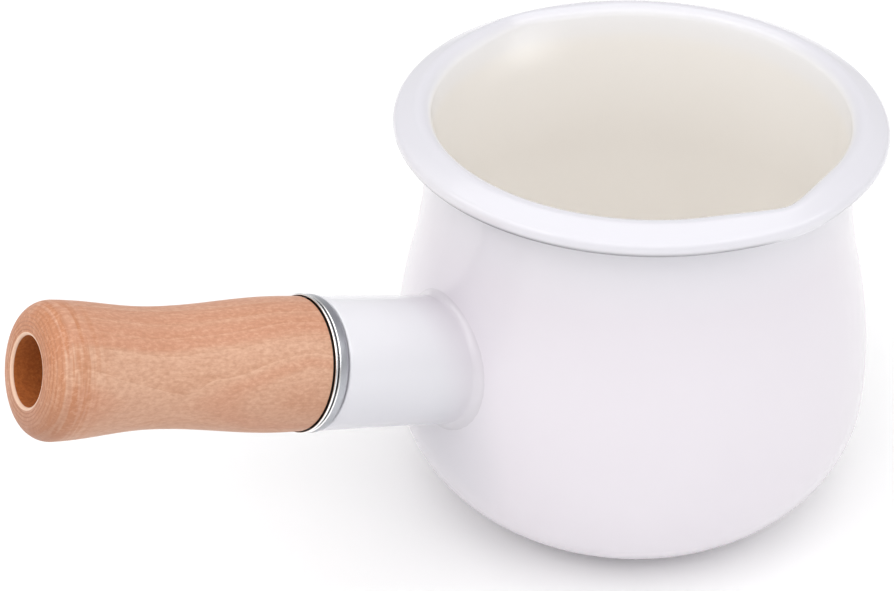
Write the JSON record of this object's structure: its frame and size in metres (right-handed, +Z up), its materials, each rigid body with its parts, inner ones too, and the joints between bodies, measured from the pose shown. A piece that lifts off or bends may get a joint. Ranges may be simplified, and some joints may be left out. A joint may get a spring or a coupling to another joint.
{
  "type": "candle melting pot",
  "caption": "Round-bellied enamelled steel melting pot with a rolled lip, two pouring spouts and a waisted wooden handle bolted to a slanted socket.",
  "frame": {"origin": "centre of the flat base, on the pot's axis", "axes": "+Z up along the pot's axis, handle towards -X, pouring spouts at +Y and -Y"},
  "size_m": [0.2209, 0.1238, 0.1099],
  "materials": {
    "white_enamel": "gloss vitreous enamel, cool white outside and ivory inside the pot",
    "polished_steel": "polished",
    "plated_steel": "zinc plated",
    "turned_wood": "fine sanded with a thin satin oil"
  },
  "bodies": {
    "pan": {"pot_body": "white_enamel", "handle_socket": "white_enamel", "socket_plate": "plated_steel", "weld_nut": "plated_steel", "ferrule": "polished_steel", "handle_grip": "turned_wood"},
    "washers": {"flat_washer": "plated_steel", "spring_washer": "plated_steel"},
    "bolt": {"handle_bolt": "plated_steel"}
  },
  "joints": [
    {"name": "bolt_turn", "type": "hinge", "parent": "washers", "child": "bolt", "pos_m": [-0.12087, 0, 0.08076], "axis": [-0.9298, 0, 0.3681], "range_deg": [0, 2881]},
    {"name": "bolt_travel", "type": "slide", "parent": "pan", "child": "washers", "axis": [-0.9298, 0, 0.3681], "range_m": [0, 0.008]}
  ],
  "couplings": [
    {"joint": "bolt_turn", "follows": "bolt_travel", "rad_per_m": 6283.2}
  ]
}
